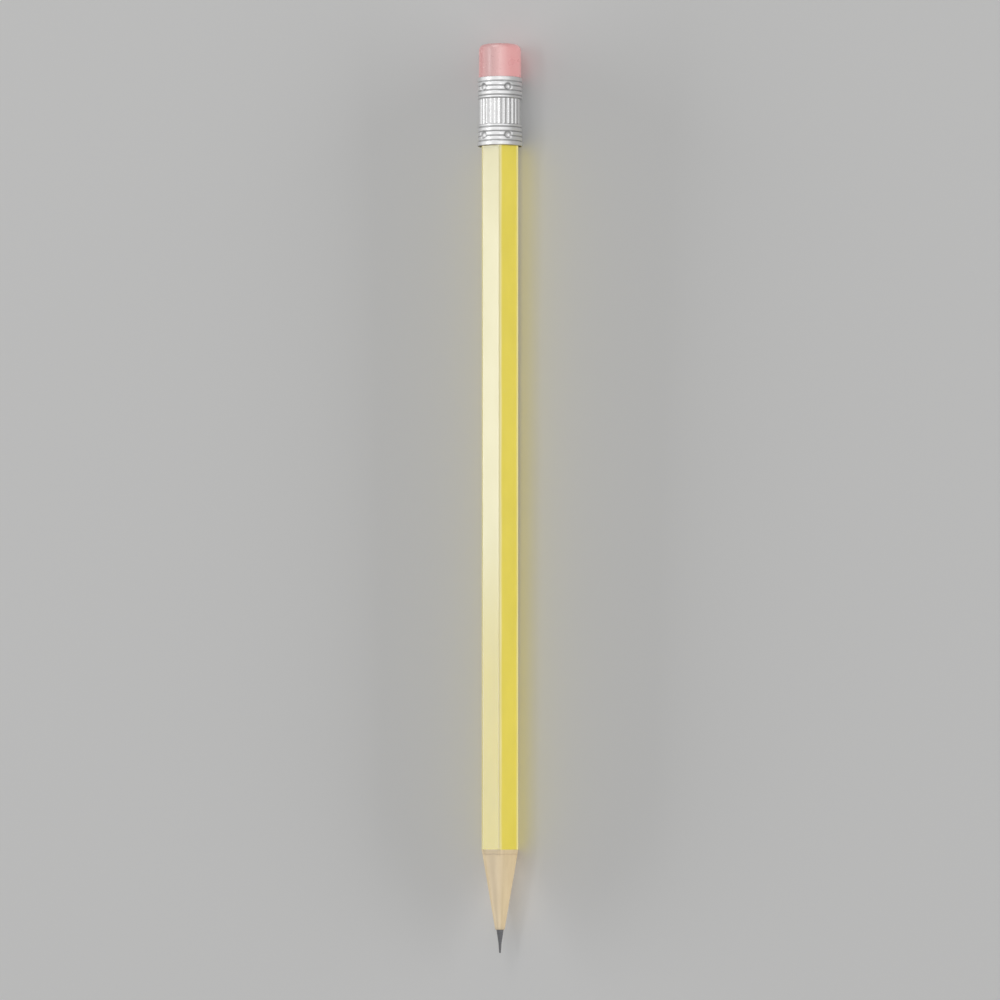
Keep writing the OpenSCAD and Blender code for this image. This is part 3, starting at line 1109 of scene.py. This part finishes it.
    def execute(self, context):
        sizes = context.scene.pencil_studio
        self.lay_floor(context)
        self.light_world(context)
        for name, degrees, x_from, x_to, wide, radiance in self.softboxes:
            below = Vector(((x_from + x_to) / 2, 0, 0))
            spot = below + way_at(degrees) * sizes.row_distance
            self.hang_lamp(name, spot, below, (x_to - x_from, wide), radiance)
        for name, degrees, tall, radiance in self.panels:
            spot = way_at(degrees) * sizes.panel_distance
            size = (sizes.panel_length, tall)
            panel = self.hang_lamp(name, spot, (0, 0, AXIS_Z), size, radiance)
            panel.visible_glossy = False
        eraser_end = (END_X, 0, AXIS_Z)
        self.hang_lamp("end softbox", self.end_spot, eraser_end, self.end_size, self.end_radiance)
        context.scene.view_settings.view_transform = "Standard"
        self.set_camera(context)
        return {"FINISHED"}


class PENCIL_PT_build(bpy.types.Panel):
    """Lists the pencil's pieces in the order in which they are built"""

    bl_idname = "PENCIL_PT_build"
    bl_label = "Pencil"
    bl_space_type = "VIEW_3D"
    bl_region_type = "UI"
    bl_category = "Pencil"

    def draw(self, context):
        for operator in STEPS:
            self.layout.operator(operator.bl_idname)
        for group in GROUPS:
            box = self.layout.box()
            box.label(text=group)
            sizes = getattr(context.scene, group)
            for name in sizes.__annotations__:
                box.prop(sizes, name)


STEPS = (
    PENCIL_OT_slats,
    PENCIL_OT_core,
    PENCIL_OT_lacquer,
    PENCIL_OT_ferrule,
    PENCIL_OT_eraser,
    PENCIL_OT_studio,
)
GROUPS = {
    "pencil_barrel": BarrelSizes,
    "pencil_ferrule": FerruleSizes,
    "pencil_looks": PencilLooks,
    "pencil_studio": StudioSizes,
}


def register():
    for group in GROUPS.values():
        bpy.utils.register_class(group)
    for step in STEPS:
        bpy.utils.register_class(step)
    bpy.utils.register_class(PENCIL_PT_build)
    for name, group in GROUPS.items():
        setattr(bpy.types.Scene, name, bpy.props.PointerProperty(type=group))


def unregister():
    for name in GROUPS:
        delattr(bpy.types.Scene, name)
    bpy.utils.unregister_class(PENCIL_PT_build)
    for step in reversed(STEPS):
        bpy.utils.unregister_class(step)
    for group in reversed(GROUPS.values()):
        bpy.utils.unregister_class(group)


def main():
    """Builds every piece and the studio in order."""
    register()
    bpy.ops.pencil.slats()
    bpy.ops.pencil.core()
    bpy.ops.pencil.lacquer()
    bpy.ops.pencil.ferrule()
    bpy.ops.pencil.eraser()
    bpy.ops.pencil.studio()


if __name__ == "__main__":
    main()
